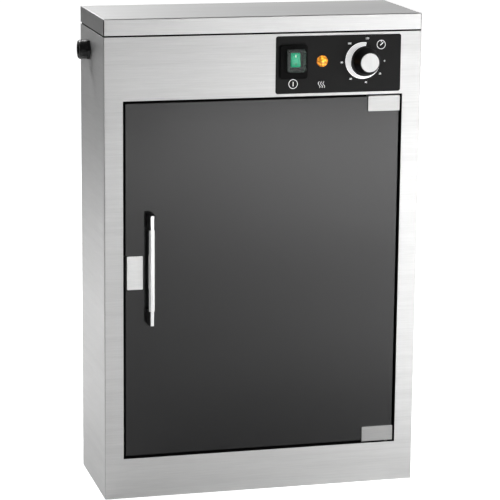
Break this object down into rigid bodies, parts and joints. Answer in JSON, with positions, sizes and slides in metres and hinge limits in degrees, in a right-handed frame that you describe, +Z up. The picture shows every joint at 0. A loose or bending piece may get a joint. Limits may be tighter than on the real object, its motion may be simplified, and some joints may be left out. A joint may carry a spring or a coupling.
{
  "type": "hot towel cabinet",
  "caption": "Shallow brushed steel warming cabinet with a smoked glass door on pivot clips, a bar handle, a lit rocker switch, a pilot lamp and a timer knob.",
  "frame": {"origin": "middle of the flat underside of the steel body", "axes": "+Z up, -Y out of the front, +X towards the hinge side"},
  "size_m": [0.4135, 0.178, 0.6],
  "materials": {
    "brushed_steel": "fine brushed",
    "inner_steel": "plain sheet",
    "rack_wire": "polished wire",
    "rubber": "matt",
    "black_plastic": "satin",
    "overlay_film": "fine textured film",
    "smoked_glass": "smoked, polished edges",
    "clear_silicone": "clear",
    "green_lens": "translucent, lit",
    "amber_lens": "translucent, lit",
    "chrome": "polished",
    "knob_metal": "satin",
    "white_nylon": "natural",
    "mineral_wool": "fibrous",
    "heater_aluminium": "plain",
    "timer_case": "zinc plated",
    "magnet": "sintered ferrite",
    "brass": "plain"
  },
  "bodies": {
    "root": {"front_panel": "brushed_steel", "body_wrap": "brushed_steel", "rear_panel": "inner_steel", "top_cap": "brushed_steel", "cap_gasket": "rubber", "door_surround": "black_plastic", "chamber_liner": "inner_steel", "insulation": "mineral_wool", "compartment_deck": "inner_steel", "left_rack_rail": "inner_steel", "right_rack_rail": "inner_steel", "lower_rack": "rack_wire", "middle_rack": "rack_wire", "upper_rack": "rack_wire", "drip_tray": "inner_steel", "heater_plate": "heater_aluminium", "thermostat": "white_nylon", "thermal_cutout": "white_nylon", "door_seal": "rubber", "catch_housing": "black_plastic", "catch_magnet": "magnet", "top_hinge_bracket": "inner_steel", "bottom_hinge_bracket": "inner_steel", "top_hinge_bush": "white_nylon", "bottom_hinge_bush": "white_nylon", "control_overlay": "overlay_film", "switch_frame": "black_plastic", "switch_body": "black_plastic", "switch_boot": "clear_silicone", "lamp_lens": "amber_lens", "lamp_body": "white_nylon", "lamp_nut": "black_plastic", "timer_body": "timer_case", "timer_nut": "inner_steel", "gland_body": "black_plastic", "gland_nut": "black_plastic", "gland_seal": "rubber", "gland_locknut": "black_plastic", "terminal_block": "white_nylon", "earth_stud": "brass", "rear_screws": "inner_steel", "cap_screws": "inner_steel"},
    "door": {"door_glass": "smoked_glass", "top_hinge_clip": "brushed_steel", "bottom_hinge_clip": "brushed_steel", "clip_pads": "rubber", "clip_screws": "inner_steel", "top_hinge_pin": "inner_steel", "bottom_hinge_pin": "inner_steel", "strike_plate": "brushed_steel", "strike_keeper": "inner_steel", "handle_posts": "black_plastic", "handle_bar": "chrome", "handle_screws": "inner_steel", "handle_washers": "rubber"},
    "rocker": {"rocker": "green_lens"},
    "timer_dial": {"timer_shaft": "inner_steel", "timer_knob": "black_plastic", "knob_cap": "knob_metal"}
  },
  "joints": [
    {"name": "door_hinge", "type": "hinge", "parent": "root", "child": "door", "pos_m": [0.166, -0.07, 0.27575], "axis": [0, 0, 1], "range_deg": [0, 110]},
    {"name": "rocker_tilt", "type": "hinge", "parent": "root", "child": "rocker", "pos_m": [0.0378, -0.07535, 0.5455], "axis": [1, 0, 0], "range_deg": [0, 14]},
    {"name": "timer_turn", "type": "hinge", "parent": "root", "child": "timer_dial", "pos_m": [0.1254, -0.075, 0.5435], "axis": [0, 1, 0], "range_deg": [0, 270]}
  ]
}
